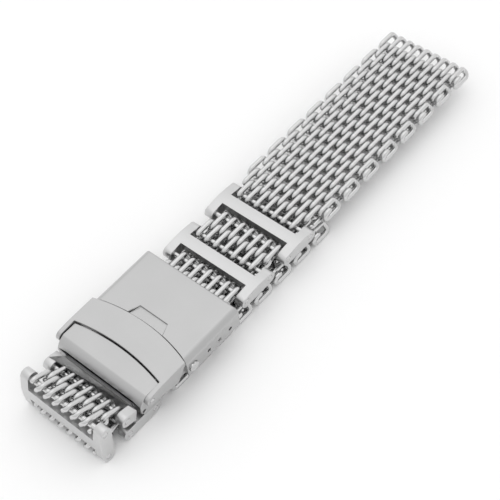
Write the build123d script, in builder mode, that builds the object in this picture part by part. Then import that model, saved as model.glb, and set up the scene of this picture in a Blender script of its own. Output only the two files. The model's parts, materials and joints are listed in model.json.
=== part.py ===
from build123d import *
import math
import os

# A steel mesh watch bracelet of woven flat coils, folded flat with its clasp closed.
# X runs along the band, Y across it and Z up. The upper half leaves the clasp
# towards +X. The lower half turns under at the tail and also runs towards +X.
# The origin is at the middle of the whole outline, on the surface it lies on.

os.makedirs("parts", exist_ok=True)

# Driving dimensions in millimetres: the woven coils
turn_pitch = 2.4
coil_height = 2.4
coil_length = 5.0
wire_side = 0.72
row_pitch = 3.45
slack_pitch = 3.25
mesh_turns = 9
frame_turns = 7
mesh_rows = 16

# The H-shaped frames and their pins
pin_radius = 0.6
pin_clearance = 0.03
pin_to_wire = 0.15
frame_pin_spacing = 7.3
frame_half_length = 5.2
frame_past_mesh = 0.14
frame_row_space = 0.34
frame_bar_width = 2.9
frame_crown = 0.35
frame_underside = 0.6

# The end links between the band and the clasp
link_length = 4.2
link_knuckle_radius = 1.45
link_knuckle_lap = 0.1
link_bar_height = 2.2
link_arm_start = 1.75
link_bar_reach = 2.05
bar_radius = 0.75
bar_tip_radius = 0.4
bar_tip_reach = 0.75
bar_end_gap = 0.1

# Heights of the two halves and the blades
layer_gap = 0.35
upper_height = 5.6
blade_thickness = 0.8
blade_side_space = 2.5
blade_gap = 0.25
blade_hinge_height = 4.5
blade_hinge_radius = 0.9
blade_hinge_middle = 4.0
cover_hinge_height = 5.4
cover_hinge_radius = 1.0
hinge_gap = 0.1

# The cover, placed from the spring bar in its middle adjusting hole
cover_side_space = 0.4
cover_wall = 1.2
cover_bottom = 3.9
cover_top = 9.2
cover_ceiling = 8.2
cover_reach = 6.2
cover_bevel = 1.1
adjust_spacing = 3.25
adjust_hole_radius = 0.45
tongue_top = 8.3
tongue_ceiling = 7.5
recess_depth = 0.45
recess_width = 9.5
recess_far_width = 7.6
recess_length = 2.6

# Places along the clasp, measured back from that spring bar
blade_hinge_back = 3.3
arc_back = 7.8
arc_sagitta = 2.1
button_back = 8.0
cover_hinge_back = 10.9
cover_end_back = 12.5
groove_back = 14.8
groove_sagitta = 1.7
flip_pin_back = 19.6
tail_bar_back = 21.3
tail_end_back = 22.1

# The flip lock over the cover's end, and its pin
flip_gap = 0.2
flip_side_gap = 0.15
flip_top = 9.6
flip_underside = 8.4
flip_foot = 5.2
flip_foot_back = 12.5
flip_end_radius = 1.35
flip_pin_height = 8.0
flip_pin_radius = 0.5

# The tail piece at the lower half's end of the clasp
tail_lug_gap = 0.1
tail_top = 9.0
tail_brow_back = 17.2
tail_brow_bulge = 0.9
tail_nose = 6.4
tail_bar_height = 5.0
tail_lug_radius = 1.35
tail_knuckle_space = 0.25
blade_seat_back = 17.6

# The push buttons in the cover's sides
button_length = 2.3
button_height = 2.0
button_height_up = 6.0
button_proud = 0.45
button_clearance = 0.06
button_flange = 0.4
button_flange_depth = 0.5
button_flange_gap = 0.1

# The lower half's bend at the tail
lower_link_tilt = 165.0
bend_frame_tilt = 263.0

overrun = 5.0

# Sizes that follow from those above
half_height = (coil_height + wire_side) / 2
half_length = (coil_length + wire_side) / 2
pin_offset = coil_length / 2 - wire_side / 2 - pin_radius - pin_to_wire
pin_gap = row_pitch + 2 * pin_offset
lower_height = half_height
blade_bottom = 2 * half_height + layer_gap

# Widths that follow from those above, from the middle outwards
frame_row_reach = (frame_turns * turn_pitch + wire_side) / 2
frame_arm_inside = frame_row_reach + frame_row_space
link_knuckle_half_width = frame_arm_inside + link_knuckle_lap
tail_lug_inside = link_knuckle_half_width + tail_lug_gap
mesh_reach = (mesh_turns * turn_pitch + wire_side) / 2
frame_half_width = mesh_reach + frame_past_mesh
tongue_half_width = frame_half_width + cover_side_space
tongue_inside = tongue_half_width - cover_wall
blade_half_width = tongue_inside - blade_side_space
flip_arm_inside = tongue_half_width + flip_side_gap
tail_half_width = tongue_half_width
cover_half_width = tongue_half_width + cover_wall


def along(start, distance, tilt):
    """The point at a distance from start, in the direction tilt in the X-Z plane."""
    return (
        start[0] + distance * math.cos(math.radians(tilt)),
        start[1] + distance * math.sin(math.radians(tilt)),
    )


def between(start, end):
    """The point halfway from start to end."""
    return ((start[0] + end[0]) / 2, (start[1] + end[1]) / 2)


def tilt_of(start, end):
    """The direction from start to end, in degrees from +X towards +Z."""
    return math.degrees(math.atan2(end[1] - start[1], end[0] - start[0]))


# Places along both halves, with the middle adjusting hole at X = 0 until they are centred
tail_bar_from_hole = (-tail_bar_back, tail_bar_height)
lower_first_pin = along(tail_bar_from_hole, link_length, lower_link_tilt)
bend_rise = frame_pin_spacing * math.sin(math.radians(bend_frame_tilt - 180))
bend_top_height = lower_height + bend_rise
bend_top_back = math.sqrt(pin_gap**2 - (bend_top_height - lower_first_pin[1]) ** 2)
bend_top = (lower_first_pin[0] - bend_top_back, bend_top_height)
bend_bottom = along(bend_top, frame_pin_spacing, bend_frame_tilt)
upper_reach = (
    link_length + 2 * pin_gap + 2 * frame_pin_spacing + pin_offset + mesh_rows * row_pitch + half_length
)
lower_reach = -bend_bottom[0] + half_height
adjust_x = (lower_reach - upper_reach) / 2


def centred(point):
    """The same place in the bracelet's own frame."""
    return (point[0] + adjust_x, point[1])


adjust_bar = (adjust_x, upper_height)
tail_bar = centred(tail_bar_from_hole)
cover_hinge = (adjust_x - cover_hinge_back, cover_hinge_height)
blade_hinge = (adjust_x - blade_hinge_back, blade_hinge_height)
flip_pin = (adjust_x - flip_pin_back, flip_pin_height)
button_place = (adjust_x - button_back, button_height_up)

pivots = {
    "adjust_bar": adjust_bar,
    "tail_bar": tail_bar,
    "cover_hinge": cover_hinge,
    "blade_hinge": blade_hinge,
    "flip_pin": flip_pin,
    "button": button_place,
}


def station(point, tilt, outer):
    """The plane of a piece of the band: its x runs away from the clasp, its z to the band's outer face."""
    lean = math.radians(tilt)
    return Plane(
        origin=(point[0], 0, point[1]),
        x_dir=(math.cos(lean), 0, math.sin(lean)),
        z_dir=(-outer * math.sin(lean), 0, outer * math.cos(lean)),
    )


def side(plane):
    """The plane seen from the side, for profiles drawn in its x and z."""
    return Plane(origin=plane.origin, x_dir=plane.x_dir, z_dir=-plane.y_dir)


def coil_row(turns, shift):
    """One flattened coil: a square wire that goes out along each top leg and back along each bottom leg.

    Each bend leads half a pitch across, so a row shifted by half a pitch hooks into this one.
    """
    half = wire_side / 2
    near, far = -coil_length / 2, coil_length / 2
    top, bottom = coil_height / 2, -coil_height / 2
    step = turn_pitch / 2
    bend = math.hypot(step, coil_height)
    fall = (step / bend, -coil_height / bend)
    climb = (step / bend, coil_height / bend)
    corners = [(half, half), (-half, half), (-half, -half), (half, -half)]

    def ring(x, y, z, lean):
        return [Vector(x + lean[0] * a + lean[1] * b, y + a, z + b) for a, b in corners]

    def stub(x, y, turn):
        return [Vector(x + turn * b, y + a, 0) for a, b in corners]

    straight = [0, 1, 2, 3]
    over = [0, 3, 2, 1]
    under = [2, 1, 0, 3]
    y = shift - (turns - 1) * turn_pitch / 2 - step / 2
    rings = [(stub(near, y, -1), None), (ring(near, y, top, (0, -1)), straight)]
    for turn in range(turns):
        rings.append((ring(far, y, top, (-fall[0], -fall[1])), straight))
        rings.append((ring(far, y + step, bottom, fall), over))
        if turn < turns - 1:
            rings.append((ring(near, y + step, bottom, climb), straight))
            rings.append((ring(near, y + turn_pitch, top, (-climb[0], -climb[1])), under))
        y += turn_pitch
    y_last = y - turn_pitch + step
    rings.append((ring(near, y_last, bottom, (0, 1)), straight))
    rings.append((stub(near, y_last, 1), straight))

    faces = [Face(Wire.make_polygon(rings[0][0])), Face(Wire.make_polygon(rings[-1][0]))]
    for (first, _), (second, order) in zip(rings, rings[1:]):
        for k in range(4):
            n = (k + 1) % 4
            a, b, c, d = first[k], first[n], second[order[n]], second[order[k]]
            if order is straight:
                faces.append(Face(Wire.make_polygon([a, b, c, d])))
            else:
                faces.append(Face(Wire.make_polygon([a, b, c])))
                faces.append(Face(Wire.make_polygon([a, c, d])))
    return Solid(Shell(faces))


row_shapes = {
    (turns, sign): coil_row(turns, sign * turn_pitch / 4)
    for turns in (mesh_turns, frame_turns)
    for sign in (1, -1)
}


def save(builder, name):
    builder.part.label = name
    export_step(builder.part, f"parts/{name}.step")


def make_rows(name, places):
    """A node of one or two woven rows: each place is a plane, its turns and the side it is shifted to."""
    with BuildPart() as rows:
        for plane, turns, sign in places:
            add(row_shapes[turns, sign].moved(plane.location))
    save(rows, name)


def make_frame(name, plane):
    """An H-shaped frame: a crowned bar across the band with an arm at each corner."""
    foot = frame_half_length - half_height
    shoulder = half_height - frame_crown
    with BuildPart() as frame:
        with BuildSketch(side(plane)):
            with BuildLine():
                Line((-foot, -half_height), (foot, -half_height))
                ThreePointArc((foot, -half_height), (frame_half_length, -frame_crown / 2), (foot, shoulder))
                ThreePointArc((foot, shoulder), (0, half_height), (-foot, shoulder))
                waist = (-frame_half_length, -frame_crown / 2)
                ThreePointArc((-foot, shoulder), waist, (-foot, -half_height))
            make_face()
        extrude(amount=frame_half_width, both=True)
        window = frame_half_length + overrun - frame_bar_width / 2
        middle = frame_bar_width / 2 + window / 2
        with BuildSketch(plane):
            with Locations((middle, 0), (-middle, 0)):
                Rectangle(window, 2 * frame_arm_inside)
        extrude(amount=half_height + overrun, both=True, mode=Mode.SUBTRACT)
        with BuildSketch(side(plane)):
            with Locations((0, -frame_underside)):
                Rectangle(frame_bar_width + 2 * overrun, overrun, align=(Align.CENTER, Align.MAX))
        extrude(amount=frame_arm_inside, both=True, mode=Mode.SUBTRACT)
        with BuildSketch(side(plane)):
            with Locations((frame_pin_spacing / 2, 0), (-frame_pin_spacing / 2, 0)):
                Circle(pin_radius + pin_clearance)
        extrude(amount=frame_half_width + overrun, both=True, mode=Mode.SUBTRACT)
    save(frame, name)


def make_pins(name, plane, places, half_span):
    """Pins across the band at these places along the plane's x."""
    with BuildPart() as pins:
        with BuildSketch(side(plane)):
            with Locations(*[(x, 0) for x in places]):
                Circle(pin_radius)
        extrude(amount=half_span, both=True)
    save(pins, name)


def make_link(name, plane):
    """An end link: a knuckle round the spring bar, a bar across, and two arms that carry the first pin."""
    arm_end = link_length + link_knuckle_radius
    with BuildPart() as link:
        with BuildSketch(side(plane)):
            Circle(link_knuckle_radius)
            Rectangle(link_bar_reach, link_bar_height, align=(Align.MIN, Align.CENTER))
        extrude(amount=link_knuckle_half_width, both=True)
        with BuildSketch(side(plane)):
            with Locations((link_arm_start, 0)):
                Rectangle(
                    link_length - link_arm_start, 2 * link_knuckle_radius, align=(Align.MIN, Align.CENTER)
                )
            with Locations((link_length, 0)):
                Circle(link_knuckle_radius)
        extrude(amount=frame_half_width, both=True)
        with BuildSketch(plane):
            with Locations((link_bar_reach, 0)):
                Rectangle(arm_end, 2 * frame_arm_inside, align=(Align.MIN, Align.CENTER))
        extrude(amount=overrun, both=True, mode=Mode.SUBTRACT)
        with BuildSketch(side(plane)):
            Circle(bar_radius + pin_clearance)
        extrude(amount=frame_half_width, both=True, mode=Mode.SUBTRACT)
        with BuildSketch(side(plane)):
            with Locations((link_length, 0)):
                Circle(pin_radius + pin_clearance)
        extrude(amount=frame_half_width + overrun, both=True, mode=Mode.SUBTRACT)
    save(link, name)


def make_spring_bar(name, point, inside, outside):
    """A spring bar: a barrel between two walls, with a thinner tip in the hole of each wall."""
    with BuildPart() as bar:
        with BuildSketch(Plane.XZ):
            with Locations(point):
                Circle(bar_radius)
        extrude(amount=inside - bar_end_gap, both=True)
        with BuildSketch(Plane.XZ):
            with Locations(point):
                Circle(bar_tip_radius)
        extrude(amount=inside + (outside - inside) * bar_tip_reach, both=True)
    save(bar, name)


def make_half(prefix, link_start, link_tilt, tilts, outer, pitch):
    """All the pieces of one half of the band, from its end link to the loops at its free end."""
    first_tilt, frame_tilt, second_tilt, flat_tilt = tilts
    link_plane = station(link_start, link_tilt, outer)
    make_link(f"{prefix}_end_link", link_plane)
    make_pins(f"{prefix}_end_link_pin", link_plane, [link_length], frame_half_width)
    pin = along(link_start, link_length, link_tilt)
    number, sign = 1, 1
    for frame_number, (row_tilt, tilt) in enumerate(((first_tilt, frame_tilt), (second_tilt, flat_tilt)), 1):
        next_pin = along(pin, pin_gap, row_tilt)
        pivots[f"{prefix}_row_{number}"] = pin
        pivots[f"{prefix}_row_{number + 1}"] = between(pin, next_pin)
        pivots[f"{prefix}_frame_{frame_number}"] = next_pin
        for place in (along(pin, pin_offset, row_tilt), along(next_pin, -pin_offset, row_tilt)):
            make_rows(f"{prefix}_row_{number}", [(station(place, row_tilt, outer), frame_turns, sign)])
            number, sign = number + 1, -sign
        far_pin = along(next_pin, frame_pin_spacing, tilt)
        frame_plane = station(between(next_pin, far_pin), tilt, outer)
        make_frame(f"{prefix}_frame_{frame_number}", frame_plane)
        half_spacing = frame_pin_spacing / 2
        make_pins(
            f"{prefix}_frame_{frame_number}_pins",
            frame_plane,
            [-half_spacing, half_spacing],
            frame_half_width,
        )
        pin = far_pin
    place = along(pin, pin_offset, flat_tilt)
    pivots[f"{prefix}_row_{number}"] = pin
    make_rows(f"{prefix}_row_{number}", [(station(place, flat_tilt, outer), frame_turns, sign)])
    gap = row_pitch
    for pair in range(1, mesh_rows // 2 + 1):
        pivots[f"{prefix}_mesh_{pair}"] = along(place, gap / 2, flat_tilt)
        places = []
        for _ in range(2):
            sign = -sign
            place = along(place, gap, flat_tilt)
            places.append((station(place, flat_tilt, outer), mesh_turns, sign))
            gap = pitch
        make_rows(f"{prefix}_mesh_{pair}", places)


make_half("upper", adjust_bar, 0, (0, 0, 0, 0), 1, row_pitch)
lower_start = centred(lower_first_pin)
make_half(
    "lower",
    tail_bar,
    lower_link_tilt,
    (tilt_of(lower_start, centred(bend_top)), bend_frame_tilt, 0, 0),
    -1,
    slack_pitch,
)
make_spring_bar("adjust_spring_bar", adjust_bar, tongue_half_width, cover_half_width)
make_spring_bar("tail_spring_bar", tail_bar, tail_lug_inside, tail_half_width)


def arc_edge(back, sagitta, half_width):
    """An arc across the clasp that bulges towards +X: its end, middle and other end."""
    share = (half_width / cover_half_width) ** 2
    side_x = adjust_x - back - sagitta * share
    return (side_x, half_width), (adjust_x - back, 0), (side_x, -half_width)


# The cover, with its adjusting holes and thumb recess, and the lower tongue under the flip lock
with BuildPart() as cover:
    with BuildSketch(Plane.XY.offset(cover_bottom)):
        with BuildLine():
            arc = arc_edge(arc_back - flip_gap, arc_sagitta, cover_half_width)
            ThreePointArc(*arc)
            right = adjust_x + cover_reach
            Polyline(arc[2], (right, -cover_half_width), (right, cover_half_width), arc[0])
        make_face()
    extrude(amount=cover_top - cover_bottom)
    long_edges = cover.edges().filter_by(Axis.X).group_by(Axis.Z)[-1]
    chamfer(long_edges, cover_bevel)
    tongue_length = cover_end_back - button_back + button_length / 2 + cover_wall
    with BuildSketch(Plane.XY.offset(cover_bottom)):
        with Locations((adjust_x - cover_end_back, 0)):
            Rectangle(tongue_length, 2 * tongue_half_width, align=(Align.MIN, Align.CENTER))
    extrude(amount=tongue_top - cover_bottom)
    with BuildSketch(Plane.XY.offset(cover_bottom - overrun)):
        with Locations((adjust_x - cover_end_back + tongue_length, 0)):
            hollow = cover_reach + cover_end_back - tongue_length + overrun
            Rectangle(hollow, 2 * tongue_half_width, align=(Align.MIN, Align.CENTER))
    extrude(amount=cover_ceiling - cover_bottom + overrun, mode=Mode.SUBTRACT)
    with BuildSketch(Plane.XY.offset(cover_bottom - overrun)):
        with Locations((adjust_x - cover_end_back - overrun, 0)):
            Rectangle(tongue_length + 2 * overrun, 2 * tongue_inside, align=(Align.MIN, Align.CENTER))
    extrude(amount=tongue_ceiling - cover_bottom + overrun, mode=Mode.SUBTRACT)
    with BuildSketch(Plane.XY.offset(cover_top - recess_depth)):
        recess_near = adjust_x - arc_back - flip_gap - overrun / 2
        recess_far = adjust_x - arc_back + recess_length
        with BuildLine():
            Polyline(
                (recess_near, -recess_width / 2),
                (adjust_x - arc_back, -recess_width / 2),
                (recess_far, -recess_far_width / 2),
                (recess_far, recess_far_width / 2),
                (adjust_x - arc_back, recess_width / 2),
                (recess_near, recess_width / 2),
                close=True,
            )
        make_face()
    extrude(amount=recess_depth + overrun, mode=Mode.SUBTRACT)
    with BuildSketch(Plane.XZ):
        with Locations(*[(adjust_x + k * adjust_spacing, upper_height) for k in (-1, 0, 1)]):
            Circle(adjust_hole_radius)
    extrude(amount=cover_half_width + overrun, both=True, mode=Mode.SUBTRACT)
    with BuildSketch(Plane.XZ):
        with Locations(cover_hinge):
            Circle(pin_radius + pin_clearance)
    extrude(amount=cover_half_width + overrun, both=True, mode=Mode.SUBTRACT)
    with BuildSketch(Plane.XZ):
        with Locations(button_place):
            SlotOverall(button_length + 2 * button_clearance, button_height + 2 * button_clearance)
    extrude(amount=cover_half_width + overrun, both=True, mode=Mode.SUBTRACT)
save(cover, "clasp_cover")


# The flip lock: an arched band over the cover's tongue and two arms back to the pin
with BuildPart() as flip_lock:
    with BuildSketch(Plane.XY.offset(flip_underside)):
        with BuildLine():
            front = arc_edge(arc_back, arc_sagitta, cover_half_width)
            back = arc_edge(groove_back, groove_sagitta, cover_half_width)
            ThreePointArc(*front)
            Line(front[2], back[2])
            ThreePointArc(*back)
            Line(back[0], front[0])
        make_face()
    extrude(amount=flip_top - flip_underside)
    arm_front = front[0][0]
    with BuildSketch(Plane.XZ):
        with BuildLine():
            Polyline(
                (arm_front, flip_top),
                (arm_front - flip_gap, flip_underside),
                (adjust_x - flip_foot_back, flip_foot),
                (flip_pin[0] + flip_end_radius, flip_pin[1] - flip_end_radius),
                (flip_pin[0], flip_pin[1] - flip_end_radius),
            )
            ThreePointArc(
                (flip_pin[0], flip_pin[1] - flip_end_radius),
                (flip_pin[0] - flip_end_radius, flip_pin[1]),
                (flip_pin[0], flip_pin[1] + flip_end_radius),
            )
            pin_top = (flip_pin[0], flip_pin[1] + flip_end_radius)
            Polyline(pin_top, (back[0][0], flip_top), (arm_front, flip_top))
        make_face()
    extrude(amount=cover_half_width, both=True)
    with BuildSketch(Plane.XY.offset(-overrun)):
        with Locations((adjust_x - arc_back + overrun, 0)):
            Rectangle(flip_pin_back + 2 * overrun, 2 * flip_arm_inside, align=(Align.MAX, Align.CENTER))
    extrude(amount=flip_underside + overrun, mode=Mode.SUBTRACT)
    with BuildSketch(Plane.XY.offset(flip_underside)):
        with BuildLine():
            inner = arc_edge(groove_back, groove_sagitta, flip_arm_inside)
            ThreePointArc(*inner)
            end_x = flip_pin[0] - overrun
            Polyline(inner[2], (end_x, -flip_arm_inside), (end_x, flip_arm_inside), inner[0])
        make_face()
    extrude(amount=overrun, mode=Mode.SUBTRACT)
    with BuildSketch(Plane.XZ):
        with Locations(flip_pin):
            Circle(flip_pin_radius + pin_clearance)
    extrude(amount=cover_half_width + overrun, both=True, mode=Mode.SUBTRACT)
save(flip_lock, "flip_lock")

with BuildPart() as flip_lock_pin:
    with BuildSketch(Plane.XZ):
        with Locations(flip_pin):
            Circle(flip_pin_radius)
    extrude(amount=cover_half_width, both=True)
save(flip_lock_pin, "flip_lock_pin")


# The tail piece: a plate between the flip lock's arms that curves down over the lower half's end link
with BuildPart() as tail:
    with BuildSketch(Plane.XY.offset(blade_bottom)):
        with BuildLine():
            edge = arc_edge(groove_back + flip_gap, groove_sagitta, tail_half_width)
            tail_end = adjust_x - tail_end_back
            ThreePointArc(*edge)
            Polyline(edge[2], (tail_end, -tail_half_width), (tail_end, tail_half_width), edge[0])
        make_face()
    extrude(amount=tail_top - blade_bottom)
    with BuildSketch(Plane.XZ):
        with BuildLine():
            brow = (adjust_x - tail_brow_back, tail_top)
            nose = (tail_end, tail_nose)
            bulge = ((brow[0] + nose[0]) / 2 - tail_brow_bulge, (brow[1] + nose[1]) / 2 + tail_brow_bulge)
            Polyline((adjust_x, blade_bottom), (adjust_x, tail_top), brow)
            ThreePointArc(brow, bulge, nose)
            Polyline(
                nose,
                (tail_end, tail_bar_height),
                (tail_bar[0], tail_bar_height - tail_lug_radius),
                (tail_bar[0] + tail_lug_radius, blade_bottom),
                (adjust_x, blade_bottom),
            )
        make_face()
    extrude(amount=cover_half_width, both=True, mode=Mode.INTERSECT)
    with BuildSketch(Plane.XY.offset(blade_bottom)):
        with Locations((adjust_x - blade_seat_back, 0)):
            Rectangle(blade_seat_back, 2 * blade_half_width, align=(Align.MIN, Align.CENTER))
    extrude(amount=blade_thickness, mode=Mode.SUBTRACT)
    with BuildSketch(Plane.XZ):
        with Locations(tail_bar):
            Circle(link_knuckle_radius + tail_knuckle_space)
            space = link_knuckle_radius + tail_knuckle_space
            Rectangle(overrun, 2 * space, align=(Align.MAX, Align.CENTER))
            Rectangle(2 * space, overrun, align=(Align.CENTER, Align.MAX))
    extrude(amount=tail_lug_inside, both=True, mode=Mode.SUBTRACT)
    with BuildSketch(Plane.XZ):
        with Locations(tail_bar):
            Circle(adjust_hole_radius)
    extrude(amount=tail_half_width + overrun, both=True, mode=Mode.SUBTRACT)
    with BuildSketch(Plane.XZ):
        with Locations(flip_pin):
            Circle(flip_pin_radius + pin_clearance)
    extrude(amount=tail_half_width + overrun, both=True, mode=Mode.SUBTRACT)
save(tail, "clasp_tail")


# The lower blade, let into the tail piece, with the middle knuckle of the blades' hinge
with BuildPart() as lower_blade:
    with BuildSketch(Plane.XY.offset(blade_bottom)):
        with Locations((adjust_x - blade_seat_back, 0)):
            plate_length = blade_seat_back - blade_hinge_back - blade_hinge_radius - hinge_gap
            Rectangle(plate_length, 2 * blade_half_width, align=(Align.MIN, Align.CENTER))
            knuckle_length = blade_seat_back - blade_hinge_back
            Rectangle(knuckle_length, 2 * blade_hinge_middle, align=(Align.MIN, Align.CENTER))
    extrude(amount=blade_thickness)
    with BuildSketch(Plane.XZ):
        with Locations(blade_hinge):
            Circle(blade_hinge_radius)
    extrude(amount=blade_hinge_middle, both=True)
    with BuildSketch(Plane.XZ):
        with Locations(blade_hinge):
            Circle(pin_radius + pin_clearance)
    extrude(amount=blade_hinge_middle + overrun, both=True, mode=Mode.SUBTRACT)
save(lower_blade, "lower_blade")


# The middle blade, from the blades' hinge back to the cover's hinge
with BuildPart() as middle_blade:
    plate_bottom = blade_bottom + blade_thickness + blade_gap
    with BuildSketch(Plane.XY.offset(plate_bottom)):
        with Locations((cover_hinge[0], 0)):
            Rectangle(
                blade_hinge[0] - cover_hinge[0], 2 * blade_half_width, align=(Align.MIN, Align.CENTER)
            )
    extrude(amount=blade_thickness)
    with BuildSketch(Plane.XY.offset(plate_bottom - overrun)):
        with Locations((blade_hinge[0] - blade_hinge_radius - hinge_gap, 0)):
            Rectangle(
                overrun, 2 * (blade_hinge_middle + hinge_gap), align=(Align.MIN, Align.CENTER)
            )
    extrude(amount=2 * overrun, mode=Mode.SUBTRACT)
    ear = (blade_half_width + blade_hinge_middle + hinge_gap) / 2
    for across in (ear, -ear):
        with BuildSketch(Plane.XZ.offset(across)):
            with Locations(blade_hinge):
                Circle(blade_hinge_radius)
        extrude(amount=(blade_half_width - blade_hinge_middle - hinge_gap) / 2, both=True)
    with BuildSketch(Plane.XZ):
        with Locations(cover_hinge):
            Circle(cover_hinge_radius)
    extrude(amount=blade_half_width, both=True)
    with BuildSketch(Plane.XZ):
        with Locations(cover_hinge, blade_hinge):
            Circle(pin_radius + pin_clearance)
    extrude(amount=blade_half_width + overrun, both=True, mode=Mode.SUBTRACT)
save(middle_blade, "middle_blade")

with BuildPart() as blade_hinge_pin:
    with BuildSketch(Plane.XZ):
        with Locations(blade_hinge):
            Circle(pin_radius)
    extrude(amount=blade_half_width, both=True)
save(blade_hinge_pin, "blade_hinge_pin")

with BuildPart() as cover_hinge_pin:
    with BuildSketch(Plane.XZ):
        with Locations(cover_hinge):
            Circle(pin_radius)
    extrude(amount=tongue_half_width, both=True)
save(cover_hinge_pin, "cover_hinge_pin")


# The push buttons, each with a flange that keeps it in the cover's side
for name, hand in (("button_right", 1), ("button_left", -1)):
    flange_out = tongue_inside - button_flange_gap
    with BuildPart() as button:
        with BuildSketch(Plane.XZ.offset(hand * flange_out)):
            with Locations(button_place):
                SlotOverall(button_length, button_height)
        extrude(amount=hand * (cover_half_width + button_proud - flange_out))
        with BuildSketch(Plane.XZ.offset(hand * flange_out)):
            with Locations(button_place):
                SlotOverall(button_length + 2 * button_flange, button_height + 2 * button_flange)
        extrude(amount=-hand * button_flange_depth)
    save(button, name)

for name, place in pivots.items():
    print(f"{name}: {place[0]:.4f}, {place[1]:.4f}")
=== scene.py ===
import json
import math

import bmesh
import bpy
import numpy as np
from mathutils import Matrix, Vector


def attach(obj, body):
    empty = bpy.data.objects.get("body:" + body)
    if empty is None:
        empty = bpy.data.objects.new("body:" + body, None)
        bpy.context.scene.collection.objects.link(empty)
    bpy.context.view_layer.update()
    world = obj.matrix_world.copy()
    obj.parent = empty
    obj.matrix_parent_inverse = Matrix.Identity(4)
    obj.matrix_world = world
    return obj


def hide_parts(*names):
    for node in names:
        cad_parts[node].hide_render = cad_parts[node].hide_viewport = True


bl_info = {
    "name": "Woven Steel Bracelet",
    "version": (1, 0, 0),
    "blender": (4, 5, 0),
    "location": "View3D > Sidebar > Bracelet",
    "description": "Dresses a folded mesh watch bracelet in round wire and satin steel",
    "category": "Add Mesh",
}

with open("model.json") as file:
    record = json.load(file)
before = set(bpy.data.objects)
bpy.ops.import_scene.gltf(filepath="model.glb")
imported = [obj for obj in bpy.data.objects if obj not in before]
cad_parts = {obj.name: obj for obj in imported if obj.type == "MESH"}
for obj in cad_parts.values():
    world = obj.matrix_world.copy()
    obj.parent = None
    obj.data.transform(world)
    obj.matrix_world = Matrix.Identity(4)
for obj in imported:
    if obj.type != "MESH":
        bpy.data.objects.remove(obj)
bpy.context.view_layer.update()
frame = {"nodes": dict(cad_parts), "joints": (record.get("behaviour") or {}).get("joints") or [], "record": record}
BODIES = frame["record"]["behaviour"]["bodies"]
BODY_OF_NODE = {node: body for body, nodes in BODIES.items() for node in nodes}
# Where each hinged body turns
JOINT_PLACES = {j["child"]: np.array(j["pos_m"]) for j in frame["joints"] if "pos_m" in j}

# From one turn of a coil to the next, across the band
TURN_PITCH = 0.0025
# For each kind of row: its legs, whether the first is on top, and whether its ends close into rings
ROW_KINDS = {
    "wide": (18, True, True),
    "narrow": (16, True, False),
    "top first": (14, True, False),
    "bottom first": (14, False, False),
}
# Rows of the mesh in each half, beyond the five before it, and how many of them one node holds
MESH_ROWS = 16
ROWS_PER_NODE = 2
# How far round the dome at a wire's end each of its rings lies, in degrees, from the tip
DOME_RINGS = [78, 52, 26]

# In the solids, points nearer than this are one
SAME_PLACE = 1e-6
# Faces that turn by less than this are one face
FLAT = math.radians(0.6)
# Faces that turn by more than this meet in a sharp edge
SHARP = math.radians(32)

# Height of the satin grain's finest relief
RELIEF_HEIGHT = 0.00002

# Camera: width of the sensor in millimetres, and the nearest and furthest that it sees
SENSOR_WIDTH = 36
NEAREST = 0.01
FURTHEST = 20
# Table: half its side, and its colour
TABLE_HALF = 3.0
TABLE_COLOUR = (0.97, 0.97, 0.97, 1)
# What the steel mirrors: the direction of the studio's brightest side, and its dark and its bright
# level, which are reached at these two cosines of the angle to that direction
BRIGHT_SIDE = (0.45, 0.45, 0.77)
COSINES = (-0.3, 0.75)
LEVELS = (0.78, 1.0)


class WireSizes(bpy.types.PropertyGroup):
    wire_diameter: bpy.props.FloatProperty(
        name="Wire diameter",
        description="Thickness of the round wire that the coils are wound from",
        default=0.00118,
        subtype="DISTANCE",
        precision=5,
    )
    coil_rise: bpy.props.FloatProperty(
        name="Coil rise",
        description="Height between the middles of the coil's top wire and its bottom wire",
        default=0.00206,
        subtype="DISTANCE",
        precision=5,
    )
    coil_reach: bpy.props.FloatProperty(
        name="Coil reach",
        description="Length between the outermost middles of the wire in the coil's two bends",
        default=0.00500,
        subtype="DISTANCE",
        precision=5,
    )
    gathering: bpy.props.FloatProperty(
        name="Gathering",
        description="How much of each step sideways is gathered at the outermost point of its bend",
        default=0.6,
        subtype="FACTOR",
    )
    open_end: bpy.props.FloatProperty(
        name="Open end",
        description="Half turns that an open wire goes on past the middle of its last leg",
        default=0.38,
        subtype="FACTOR",
    )
    ring_end: bpy.props.FloatProperty(
        name="Ring end",
        description="The same for a wire whose end closes into a ring at the band's edge",
        default=0.86,
        subtype="FACTOR",
    )
    steps_per_turn: bpy.props.IntProperty(
        name="Steps per turn", description="Rings of points along one turn of wire", default=36
    )
    sides: bpy.props.IntProperty(name="Sides", description="Points round the wire", default=10)


class EdgeSizes(bpy.types.PropertyGroup):
    frame_round: bpy.props.FloatProperty(
        name="Frame rounding",
        description="Width of the rounded edges on the frames and end links",
        default=0.00028,
        subtype="DISTANCE",
        precision=5,
    )
    clasp_round: bpy.props.FloatProperty(
        name="Clasp rounding",
        description="Width of the rounding on the short edges of the cover, flip lock and tail",
        default=0.00014,
        subtype="DISTANCE",
        precision=5,
    )
    clasp_long_round: bpy.props.FloatProperty(
        name="Long clasp rounding",
        description="Width of the rounding on the long edges of the same pieces",
        default=0.0005,
        subtype="DISTANCE",
        precision=5,
    )
    long_edge: bpy.props.FloatProperty(
        name="Long edge",
        description="Length from which an edge of the clasp counts as long",
        default=0.012,
        subtype="DISTANCE",
        precision=4,
    )
    pin_round: bpy.props.FloatProperty(
        name="Pin rounding",
        description="Width of the rounded edges on the pins' ends",
        default=0.00008,
        subtype="DISTANCE",
        precision=5,
    )


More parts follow.
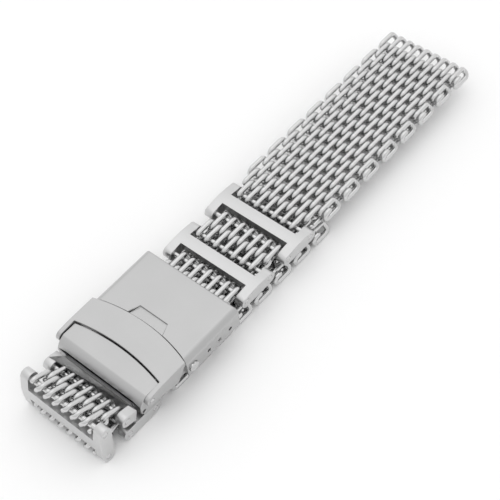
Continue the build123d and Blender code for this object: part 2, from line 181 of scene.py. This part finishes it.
class SteelColours(bpy.types.PropertyGroup):
    wire_colour: bpy.props.FloatVectorProperty(
        name="Wire colour",
        description="Colour of the polished wire",
        default=(0.68, 0.68, 0.68),
        subtype="COLOR",
        min=0,
        max=1,
    )
    satin_colour: bpy.props.FloatVectorProperty(
        name="Satin colour",
        description="Colour of the clasp's satin cover, flip lock and tail",
        default=(0.52, 0.52, 0.52),
        subtype="COLOR",
        min=0,
        max=1,
    )
    frame_colour: bpy.props.FloatVectorProperty(
        name="Frame colour",
        description="Colour of the frames and end links, which are finer ground than the clasp",
        default=(0.64, 0.64, 0.64),
        subtype="COLOR",
        min=0,
        max=1,
    )
    blade_colour: bpy.props.FloatVectorProperty(
        name="Blade colour",
        description="Colour of the thin blades inside the clasp",
        default=(0.45, 0.45, 0.45),
        subtype="COLOR",
        min=0,
        max=1,
    )
    wire_roughness: bpy.props.FloatProperty(
        name="Wire roughness",
        description="Roughness of the polished wire",
        default=0.17,
        subtype="FACTOR",
    )
    satin_roughness: bpy.props.FloatProperty(
        name="Satin roughness",
        description="Roughness of the satin steel",
        default=0.34,
        subtype="FACTOR",
    )


class StudioSizes(bpy.types.PropertyGroup):
    azimuth: bpy.props.FloatProperty(
        name="Camera azimuth",
        description="Direction from the bracelet to the camera",
        default=-133.23,
    )
    elevation: bpy.props.FloatProperty(
        name="Camera elevation",
        description="Height of the camera above the table, as an angle",
        default=53.06,
    )
    roll: bpy.props.FloatProperty(
        name="Camera roll", description="Turn of the picture about the view's middle", default=-8.02
    )
    distance: bpy.props.FloatProperty(
        name="Camera distance",
        description="From the camera to the point that it looks at",
        default=0.273,
        subtype="DISTANCE",
    )
    target: bpy.props.FloatVectorProperty(
        name="Camera target",
        description="Point on the table that the camera looks at, seen from the adjusting bar",
        default=(0.0237, -0.0001, 0.0),
        subtype="XYZ",
    )
    lens: bpy.props.FloatProperty(
        name="Lens", description="Focal length for a 36 mm sensor, in millimetres", default=90.2
    )
    floor_drop: bpy.props.FloatProperty(
        name="Floor drop",
        description="How far the table lies under the frame's lowest solid, for the round wire",
        default=0.00007,
        subtype="DISTANCE",
        precision=5,
    )


# Shapes


def tube_surface(path, radius, sides, across):
    """A round tube along a path, as a grid of points.

    At each point of the path the tangent is the difference of its neighbours, the normal is the
    tangent crossed with a fixed direction, and the binormal is the normal crossed with the tangent.
    The surface point is the path's point plus the radius times cos v times the normal plus sin v
    times the binormal. Each end goes on along its tangent by the radius times sin w, where the
    radius shrinks by cos w, so that it closes in a dome.
    """
    tangent = np.gradient(path, axis=0)
    tangent /= np.linalg.norm(tangent, axis=1, keepdims=True)
    w = np.radians(DOME_RINGS)
    rise, shrink = radius * np.sin(w)[:, None], radius * np.cos(w)
    path = np.concatenate([path[0] - rise * tangent[0], path, path[-1] + rise[::-1] * tangent[-1]])
    tangent = np.pad(tangent, ((len(w), len(w)), (0, 0)), mode="edge")
    radius = np.concatenate([shrink, np.full(len(path) - 2 * len(w), radius), shrink[::-1]])
    radius = radius[:, None, None]
    normal = np.cross(tangent, across)
    normal /= np.linalg.norm(normal, axis=1, keepdims=True)
    binormal = np.cross(normal, tangent)
    v = np.linspace(0, 2 * np.pi, sides, endpoint=False)
    cosines, sines = np.cos(v)[None, :, None], np.sin(v)[None, :, None]
    around = normal[:, None, :] * cosines + binormal[:, None, :] * sines
    return path[:, None, :] + radius * around


def coil_path(legs, top_first, closed, sizes):
    """The middle line of one flattened coil, in its own axes: straight legs joined by half circles.

    With u as the half turns past the first leg's middle, v is the distance along the wire from the
    middle of the nearest leg. X is v held within the straight leg plus the bend's radius times sin
    w, and Z is that radius times cos w, where w is the rest of v over the radius. Both change sign
    from each leg to the next. Y falls only in the bends. With f as (2 w - sin 2 w) / 2 pi and g as
    twice f times its own size, the fall is half a pitch times (the leg's number plus f, or g as far
    as the step is gathered), held at the first and last legs.
    """
    radius = sizes.coil_rise / 2
    straight = (sizes.coil_reach - sizes.coil_rise) / 2
    half_turn = 2 * straight + np.pi * radius
    past = sizes.ring_end if closed else sizes.open_end
    count = int(round((legs - 1 + 2 * past) / 2 * sizes.steps_per_turn)) + 1
    u = np.linspace(-past, legs - 1 + past, count)
    leg = np.round(u)
    sign = np.where((leg % 2 == 0) == top_first, 1, -1)
    v = (u - leg) * half_turn
    level = np.clip(v, -straight, straight)
    w = (v - level) / radius
    x = sign * (level + radius * np.sin(w))
    z = sign * radius * np.cos(w)
    even = (2 * w - np.sin(2 * w)) / (2 * np.pi)
    gathered = 2 * even * np.abs(even)
    fall = np.clip(leg + even + sizes.gathering * (gathered - even), 0, legs - 1)
    y = TURN_PITCH / 2 * ((legs - 1) / 2 - fall)
    return np.stack([x, y, z], axis=1)


def grid_faces(rows, columns):
    """Faces of a tube's grid: each joins two neighbours in a ring to the two in the next ring."""
    ring = np.arange(rows - 1)[:, None] * columns
    here = np.arange(columns)[None, :]
    beside = (here + 1) % columns
    ahead = ring + columns
    return np.stack([ring + here, ring + beside, ahead + beside, ahead + here], axis=2)


def tube_mesh(name, tubes):
    """One mesh of closed tubes: each grid's faces, and one flat face over the ring at each end."""
    points, faces, base = [], [], 0
    for tube in tubes:
        rows, columns = tube.shape[:2]
        points.append(tube.reshape(-1, 3))
        quads = grid_faces(rows, columns).reshape(-1, 4) + base
        faces.extend(quads.tolist())
        faces.append((np.arange(columns)[::-1] + base).tolist())
        faces.append((np.arange(columns) + base + (rows - 1) * columns).tolist())
        base += rows * columns
    mesh = bpy.data.meshes.new(name)
    mesh.from_pydata(np.concatenate(points).tolist(), [], faces)
    mesh.shade_smooth()
    mesh.update()
    return mesh


def turn_outward(mesh):
    """Turns the faces of closed shells so that they point outwards."""
    shell = bmesh.new()
    shell.from_mesh(mesh)
    bmesh.ops.recalc_face_normals(shell, faces=shell.faces)
    shell.to_mesh(mesh)
    shell.free()


def row_axes(tilt, outer):
    """The axes of a woven row: away from the clasp, across, and out of the band's outer face.

    The outer face looks up where outer is 1, as in the upper half, and down where it is -1.
    """
    forward = np.array([math.cos(tilt), 0, math.sin(tilt)])
    out = np.array([-outer * math.sin(tilt), 0, outer * math.cos(tilt)])
    return np.stack([forward, np.cross(out, forward), out])


def row_tube(place, tilt, outer, kind, sizes):
    """The tube of one row: the coil's path carried to its place."""
    path = coil_path(*ROW_KINDS[kind], sizes)
    axes = row_axes(tilt, outer)
    return tube_surface(path @ axes + place, sizes.wire_diameter / 2, sizes.sides, axes[1])


def toward(start, end):
    """The unit direction from one place to another and its tilt from +X towards +Z."""
    step = end - start
    return step / np.linalg.norm(step), math.atan2(step[2], step[0])


def weave_stations(half):
    """Where each woven row of one half stands: name, place, tilt and kind.

    The places come from the joints: a frame row's middle is a fixed distance from its pin towards
    the next joint, and a mesh row's middle is one pitch past the row before it. The first mesh row
    and the rows between the frames have the upper half's pitch in both halves.
    """
    joint, upper = (
        {
            body.removeprefix(side): place
            for body, place in JOINT_PLACES.items()
            if body.startswith(side)
        }
        for side in (half + "_", "upper_")
    )
    row_pitch = np.linalg.norm(upper["mesh_3"] - upper["mesh_2"]) / 2
    own_pitch = np.linalg.norm(joint["mesh_3"] - joint["mesh_2"]) / 2
    pin_offset = (np.linalg.norm(upper["frame_1"] - upper["row_1"]) - row_pitch) / 2
    rows = []
    for first, second, pin in (("row_1", "row_2", "frame_1"), ("row_3", "row_4", "frame_2")):
        way, tilt = toward(joint[first], joint[pin])
        rows.append((first, joint[first] + way * pin_offset, tilt, "top first"))
        rows.append((second, joint[pin] - way * pin_offset, tilt, "bottom first"))
    way, tilt = toward(joint["row_5"], joint["mesh_1"])
    place = joint["row_5"] + way * pin_offset
    rows.append(("row_5", place, tilt, "top first"))
    for row in range(MESH_ROWS):
        place = place + way * (own_pitch if row else row_pitch)
        kind = "wide" if row % 2 else "narrow"
        rows.append((f"mesh_{row // ROWS_PER_NODE + 1}", place, tilt, kind))
    return rows


def add_object(name, data):
    """A new object in the scene."""
    made = bpy.data.objects.new(name, data)
    bpy.context.scene.collection.objects.link(made)
    return made


def weigh_edges(solid, short_share, long_edge):
    """Gives each sharp edge its share of the rounding: all of it if it is long, and less if not."""
    weights = solid.edges.layers.float.new("bevel_weight_edge")
    for edge in solid.edges:
        if edge.is_manifold and edge.calc_face_angle() > SHARP:
            edge[weights] = 1 if edge.calc_length() > long_edge else short_share


def rounded_copy(node, width, segments=3, short_share=None, long_edge=0):
    """A copy of a solid whose triangles are joined into whole faces and whose edges are rounded.

    With a short share, edges up to the long edge's length get only that share of the width, and the
    rounding isn't narrowed where edges lie close together.
    """
    mesh = frame["nodes"][node].data.copy()
    mesh.name = node + "_finished"
    solid = bmesh.new()
    solid.from_mesh(mesh)
    bmesh.ops.remove_doubles(solid, verts=solid.verts, dist=SAME_PLACE)
    bmesh.ops.dissolve_limit(
        solid, angle_limit=FLAT, verts=solid.verts, edges=solid.edges, delimit={"NORMAL"}
    )
    bmesh.ops.recalc_face_normals(solid, faces=solid.faces)
    if short_share:
        weigh_edges(solid, short_share, long_edge)
    solid.to_mesh(mesh)
    solid.free()
    mesh.shade_smooth()
    piece = add_object(node + "_finished", mesh)
    bevel = piece.modifiers.new("Rounded edges", "BEVEL")
    bevel.width = width
    bevel.segments = segments
    bevel.limit_method = "WEIGHT" if short_share else "ANGLE"
    bevel.angle_limit = SHARP
    bevel.harden_normals = True
    bevel.use_clamp_overlap = not short_share
    weighted = piece.modifiers.new("Weighted normals", "WEIGHTED_NORMAL")
    weighted.keep_sharp = True
    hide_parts(node)
    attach(piece, BODY_OF_NODE[node])
    return piece


# Finishes


def new_group(name, inputs, outputs):
    """An empty shader node group with these sockets, or None if it is there already."""
    if name in bpy.data.node_groups:
        return None
    group = bpy.data.node_groups.new(name, "ShaderNodeTree")
    for label, kind, value in inputs:
        socket = group.interface.new_socket(label, in_out="INPUT", socket_type=kind)
        socket.default_value = value
    for label, kind in outputs:
        group.interface.new_socket(label, in_out="OUTPUT", socket_type=kind)
    group.nodes.new("NodeGroupInput")
    group.nodes.new("NodeGroupOutput")
    return group


def satin_grain_group():
    """Fine lines of a satin finish: noise stretched along one axis, as roughness and as height."""
    group = new_group(
        "Satin grain",
        [
            ("Across", "NodeSocketVector", (900.0, 9000.0, 9000.0)),
            ("Roughness", "NodeSocketFloat", 0.3),
            ("Depth", "NodeSocketFloat", 0.12),
        ],
        [("Roughness", "NodeSocketFloat"), ("Height", "NodeSocketFloat")],
    )
    if group is None:
        return bpy.data.node_groups["Satin grain"]
    nodes, links = group.nodes, group.links
    inside, outside = nodes["Group Input"], nodes["Group Output"]
    coords = nodes.new("ShaderNodeTexCoord")
    mapping = nodes.new("ShaderNodeMapping")
    lines = nodes.new("ShaderNodeTexNoise")
    lines.inputs["Scale"].default_value = 1
    lines.inputs["Detail"].default_value = 3
    spread = nodes.new("ShaderNodeMapRange")
    spread.inputs["To Min"].default_value = -1
    spread.inputs["To Max"].default_value = 1
    depth = nodes.new("ShaderNodeMath")
    depth.operation = "MULTIPLY_ADD"
    links.new(coords.outputs["Object"], mapping.inputs["Vector"])
    links.new(inside.outputs["Across"], mapping.inputs["Scale"])
    links.new(mapping.outputs["Vector"], lines.inputs["Vector"])
    links.new(lines.outputs["Fac"], spread.inputs["Value"])
    links.new(spread.outputs["Result"], depth.inputs[0])
    links.new(inside.outputs["Depth"], depth.inputs[1])
    links.new(inside.outputs["Roughness"], depth.inputs[2])
    links.new(depth.outputs["Value"], outside.inputs["Roughness"])
    links.new(lines.outputs["Fac"], outside.inputs["Height"])
    return group


def handling_group():
    """Slight clouding of the steel from handling: soft noise that darkens the colour in places."""
    group = new_group(
        "Handling marks",
        [
            ("Colour", "NodeSocketColor", (0.7, 0.7, 0.7, 1.0)),
            ("Darker", "NodeSocketFloat", 0.08),
            ("Scale", "NodeSocketFloat", 120.0),
        ],
        [("Colour", "NodeSocketColor")],
    )
    if group is None:
        return bpy.data.node_groups["Handling marks"]
    nodes, links = group.nodes, group.links
    inside, outside = nodes["Group Input"], nodes["Group Output"]
    coords = nodes.new("ShaderNodeTexCoord")
    clouds = nodes.new("ShaderNodeTexNoise")
    clouds.inputs["Detail"].default_value = 4
    share = nodes.new("ShaderNodeMath")
    share.operation = "MULTIPLY"
    mix = nodes.new("ShaderNodeMix")
    mix.data_type = "RGBA"
    mix.inputs["B"].default_value = (0, 0, 0, 1)
    links.new(coords.outputs["Object"], clouds.inputs["Vector"])
    links.new(inside.outputs["Scale"], clouds.inputs["Scale"])
    links.new(clouds.outputs["Fac"], share.inputs[0])
    links.new(inside.outputs["Darker"], share.inputs[1])
    links.new(share.outputs["Value"], mix.inputs["Factor"])
    links.new(inside.outputs["Colour"], mix.inputs["A"])
    links.new(mix.outputs["Result"], outside.inputs["Colour"])
    return group


def steel(name, colour, roughness, across, depth, bump, darker=0.08):
    """A steel finish: handling marks in its colour and satin grain in its roughness and normal.

    Across gives the grain's lines per metre along each axis, so that the lines run where it is
    least.
    """
    if name in bpy.data.materials:
        return bpy.data.materials[name]
    material = bpy.data.materials.new(name)
    material.use_nodes = True
    nodes, links = material.node_tree.nodes, material.node_tree.links
    shader = nodes["Principled BSDF"]
    shader.inputs["Metallic"].default_value = 1
    grain = nodes.new("ShaderNodeGroup")
    grain.node_tree = satin_grain_group()
    grain.inputs["Across"].default_value = across
    grain.inputs["Roughness"].default_value = roughness
    grain.inputs["Depth"].default_value = depth
    marks = nodes.new("ShaderNodeGroup")
    marks.node_tree = handling_group()
    marks.inputs["Colour"].default_value = (*colour, 1)
    marks.inputs["Darker"].default_value = darker
    relief = nodes.new("ShaderNodeBump")
    relief.inputs["Strength"].default_value = bump
    relief.inputs["Distance"].default_value = RELIEF_HEIGHT
    links.new(grain.outputs["Roughness"], shader.inputs["Roughness"])
    links.new(grain.outputs["Height"], relief.inputs["Height"])
    links.new(relief.outputs["Normal"], shader.inputs["Normal"])
    links.new(marks.outputs["Colour"], shader.inputs["Base Color"])
    return material


def wire_steel():
    """Drawn and polished wire, with faint marks."""
    look = bpy.context.scene.bracelet_colours
    across = (2500, 2500, 2500)
    return steel(
        "Polished wire",
        look.wire_colour,
        look.wire_roughness,
        across,
        depth=0.06,
        bump=0.05,
        darker=0.10,
    )


def satin_steel():
    """The satin of the clasp, with grain along the band."""
    look = bpy.context.scene.bracelet_colours
    across = (900, 9000, 9000)
    return steel(
        "Satin steel", look.satin_colour, look.satin_roughness, across, depth=0.07, bump=0.10
    )


def frame_steel():
    """The finer and paler satin of the frames and end links, with grain along their crossbars."""
    look = bpy.context.scene.bracelet_colours
    across = (9000, 900, 9000)
    return steel(
        "Frame steel", look.frame_colour, look.satin_roughness, across, depth=0.06, bump=0.08
    )


def blade_steel():
    """The plainer satin of the blades inside the clasp."""
    look = bpy.context.scene.bracelet_colours
    across = (700, 7000, 7000)
    return steel(
        "Blade steel", look.blade_colour, look.satin_roughness, across, depth=0.09, bump=0.12
    )


def coat(piece, material):
    """Gives a piece one material, in a single slot."""
    piece.data.materials.clear()
    piece.data.materials.append(material)


# Operators


def add_rows(half, outer):
    """Adds the round wire of every woven row of one half, one piece for each node."""
    sizes = bpy.context.scene.bracelet_wire
    tubes = {}
    for name, place, tilt, kind in weave_stations(half):
        tubes.setdefault(f"{half}_{name}", []).append(row_tube(place, tilt, outer, kind, sizes))
    for node, surfaces in tubes.items():
        mesh = tube_mesh(node + "_wire", surfaces)
        turn_outward(mesh)
        piece = add_object(node + "_wire", mesh)
        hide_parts(node)
        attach(piece, BODY_OF_NODE[node])
        coat(piece, wire_steel())


class BRACELET_OT_upper_mesh(bpy.types.Operator):
    """Winds the upper half's coils from round wire"""

    bl_idname = "bracelet.upper_mesh"
    bl_label = "Upper mesh"

    def execute(self, context):
        add_rows("upper", 1)
        return {"FINISHED"}


class BRACELET_OT_lower_mesh(bpy.types.Operator):
    """Winds the lower half's coils from round wire"""

    bl_idname = "bracelet.lower_mesh"
    bl_label = "Lower mesh"

    def execute(self, context):
        add_rows("lower", -1)
        return {"FINISHED"}


class BRACELET_OT_frames(bpy.types.Operator):
    """Rounds the edges of the H-shaped frames and the end links"""

    bl_idname = "bracelet.frames"
    bl_label = "Frames and links"

    def execute(self, context):
        width = context.scene.bracelet_edges.frame_round
        for half in ("upper", "lower"):
            for node in (f"{half}_frame_1", f"{half}_frame_2", f"{half}_end_link"):
                coat(rounded_copy(node, width), frame_steel())
        return {"FINISHED"}


class BRACELET_OT_pins(bpy.types.Operator):
    """Finishes the pins and spring bars that join the band"""

    bl_idname = "bracelet.pins"
    bl_label = "Pins and bars"

    def execute(self, context):
        width = context.scene.bracelet_edges.pin_round
        names = [node for node in frame["nodes"] if "pin" in node or "bar" in node]
        for node in names:
            coat(rounded_copy(node, width, segments=2), wire_steel())
        return {"FINISHED"}


class BRACELET_OT_clasp(bpy.types.Operator):
    """Rounds the edges of the cover, flip lock and tail piece"""

    bl_idname = "bracelet.clasp"
    bl_label = "Clasp"

    def execute(self, context):
        edges = context.scene.bracelet_edges
        width = edges.clasp_long_round
        share = edges.clasp_round / width
        for node in ("clasp_cover", "flip_lock", "clasp_tail"):
            piece = rounded_copy(
                node, width, segments=4, short_share=share, long_edge=edges.long_edge
            )
            coat(piece, satin_steel())
        return {"FINISHED"}


class BRACELET_OT_blades(bpy.types.Operator):
    """Finishes the folding blades and the push buttons"""

    bl_idname = "bracelet.blades"
    bl_label = "Blades and buttons"

    def execute(self, context):
        width = context.scene.bracelet_edges.pin_round
        for node in ("lower_blade", "middle_blade"):
            coat(rounded_copy(node, width, segments=2), blade_steel())
        for node in ("button_left", "button_right"):
            coat(rounded_copy(node, width), wire_steel())
        return {"FINISHED"}


def shown_background(tree, shown, lighting):
    """Mixes two backgrounds: one for camera, glossy and transmitted rays, and one for the rest."""
    nodes, links = tree.nodes, tree.links
    path = nodes.new("ShaderNodeLightPath")
    most = nodes.new("ShaderNodeMath")
    most.operation = "MAXIMUM"
    most.use_clamp = True
    all_three = nodes.new("ShaderNodeMath")
    all_three.operation = "MAXIMUM"
    mix = nodes.new("ShaderNodeMixShader")
    links.new(path.outputs["Is Camera Ray"], most.inputs[0])
    links.new(path.outputs["Is Glossy Ray"], most.inputs[1])
    links.new(most.outputs["Value"], all_three.inputs[0])
    links.new(path.outputs["Is Transmission Ray"], all_three.inputs[1])
    links.new(all_three.outputs["Value"], mix.inputs["Fac"])
    links.new(lighting, mix.inputs[1])
    links.new(shown, mix.inputs[2])
    return mix.outputs["Shader"]


def add_floor(drop):
    """A large pale table top under the bracelet."""
    mesh = bpy.data.meshes.new("table_top")
    signs = ((-1, -1), (1, -1), (1, 1), (-1, 1))
    corners = [(x * TABLE_HALF, y * TABLE_HALF, -drop) for x, y in signs]
    mesh.from_pydata(corners, [], [(0, 1, 2, 3)])
    floor = add_object("table_top", mesh)
    material = bpy.data.materials.new("Pale table")
    material.use_nodes = True
    shader = material.node_tree.nodes["Principled BSDF"]
    shader.inputs["Base Color"].default_value = TABLE_COLOUR
    shader.inputs["Roughness"].default_value = 0.9
    shader.inputs["Specular IOR Level"].default_value = 0.1
    mesh.materials.append(material)


def add_lamp(name, place, size, power):
    """A soft square lamp at a place, turned to the frame's origin."""
    data = bpy.data.lights.new(name, "AREA")
    data.size = size
    data.energy = power
    lamp = add_object(name, data)
    lamp.location = place
    lamp.rotation_euler = (-Vector(place)).to_track_quat("-Z", "Y").to_euler()


def add_camera(studio):
    """A camera on the ray at the azimuth and elevation from its target, rolled about that ray."""
    azimuth, elevation = math.radians(studio.azimuth), math.radians(studio.elevation)
    roll = math.radians(studio.roll)
    back = Vector((
        math.cos(elevation) * math.cos(azimuth),
        math.cos(elevation) * math.sin(azimuth),
        math.sin(elevation),
    ))
    right = (-back).cross(Vector((0, 0, 1))).normalized()
    up = right.cross(-back)
    rolled_right = math.cos(roll) * right + math.sin(roll) * up
    rolled_up = -math.sin(roll) * right + math.cos(roll) * up
    data = bpy.data.cameras.new("Camera")
    data.lens = studio.lens
    data.sensor_width = SENSOR_WIDTH
    data.clip_start = NEAREST
    data.clip_end = FURTHEST
    camera = add_object("Camera", data)
    axes = Matrix((rolled_right, rolled_up, back)).transposed().to_4x4()
    adjusting_bar = Vector((JOINT_PLACES["upper_end_link"][0], 0, 0))
    axes.translation = adjusting_bar + Vector(studio.target) + back * studio.distance
    camera.matrix_world = axes
    bpy.context.scene.camera = camera


def add_world(scene):
    """A studio that lights evenly with plain white and that the steel mirrors paler on one side."""
    world = scene.world or bpy.data.worlds.new("World")
    scene.world = world
    world.use_nodes = True
    tree = world.node_tree
    tree.nodes.clear()
    plain = tree.nodes.new("ShaderNodeBackground")
    plain.inputs["Color"].default_value = (1, 1, 1, 1)
    plain.inputs["Strength"].default_value = 1.0
    shown = tree.nodes.new("ShaderNodeBackground")
    direction = tree.nodes.new("ShaderNodeTexCoord")
    cosine = tree.nodes.new("ShaderNodeVectorMath")
    cosine.operation = "DOT_PRODUCT"
    cosine.inputs[1].default_value = BRIGHT_SIDE
    level = tree.nodes.new("ShaderNodeMapRange")
    for label, value in zip(("From Min", "From Max", "To Min", "To Max"), COSINES + LEVELS):
        level.inputs[label].default_value = value
    tree.links.new(direction.outputs["Generated"], cosine.inputs[0])
    tree.links.new(cosine.outputs["Value"], level.inputs["Value"])
    tree.links.new(level.outputs["Result"], shown.inputs["Color"])
    out = tree.nodes.new("ShaderNodeOutputWorld")
    surface = shown_background(tree, shown.outputs["Background"], plain.outputs["Background"])
    tree.links.new(surface, out.inputs["Surface"])


class BRACELET_OT_studio(bpy.types.Operator):
    """Sets the table, the soft studio light and the camera"""

    bl_idname = "bracelet.studio"
    bl_label = "Studio"

    def execute(self, context):
        studio = context.scene.bracelet_studio
        add_camera(studio)
        add_floor(studio.floor_drop)
        add_lamp("Top softbox", place=(0.25, 0.25, 1.2), size=1.2, power=1.2)
        add_world(context.scene)
        context.scene.view_settings.view_transform = "Standard"
        return {"FINISHED"}


class BRACELET_PT_panel(bpy.types.Panel):
    """Lists the bracelet's pieces and their sizes"""

    bl_label = "Bracelet"
    bl_idname = "BRACELET_PT_panel"
    bl_space_type = "VIEW_3D"
    bl_region_type = "UI"
    bl_category = "Bracelet"

    def draw(self, context):
        layout = self.layout
        for name in GROUPS:
            group = getattr(context.scene, name)
            column = layout.column()
            for size in group.__annotations__:
                column.prop(group, size)
        for operator in OPERATORS:
            layout.operator(operator.bl_idname)


OPERATORS = (
    BRACELET_OT_upper_mesh,
    BRACELET_OT_lower_mesh,
    BRACELET_OT_frames,
    BRACELET_OT_pins,
    BRACELET_OT_clasp,
    BRACELET_OT_blades,
    BRACELET_OT_studio,
)
GROUPS = {
    "bracelet_wire": WireSizes,
    "bracelet_edges": EdgeSizes,
    "bracelet_colours": SteelColours,
    "bracelet_studio": StudioSizes,
}


def register():
    """Registers the classes and puts their sizes on the scene."""
    for group in GROUPS.values():
        bpy.utils.register_class(group)
    for operator in OPERATORS:
        bpy.utils.register_class(operator)
    bpy.utils.register_class(BRACELET_PT_panel)
    for name, group in GROUPS.items():
        setattr(bpy.types.Scene, name, bpy.props.PointerProperty(type=group))


def unregister():
    """Takes the sizes off the scene and removes the classes."""
    for name in GROUPS:
        delattr(bpy.types.Scene, name)
    bpy.utils.unregister_class(BRACELET_PT_panel)
    for operator in reversed(OPERATORS):
        bpy.utils.unregister_class(operator)
    for group in reversed(list(GROUPS.values())):
        bpy.utils.unregister_class(group)


def main():
    """Builds the whole bracelet and its studio."""
    register()
    bpy.ops.bracelet.upper_mesh()
    bpy.ops.bracelet.lower_mesh()
    bpy.ops.bracelet.frames()
    bpy.ops.bracelet.pins()
    bpy.ops.bracelet.clasp()
    bpy.ops.bracelet.blades()
    bpy.ops.bracelet.studio()


if __name__ == "__main__":
    main()
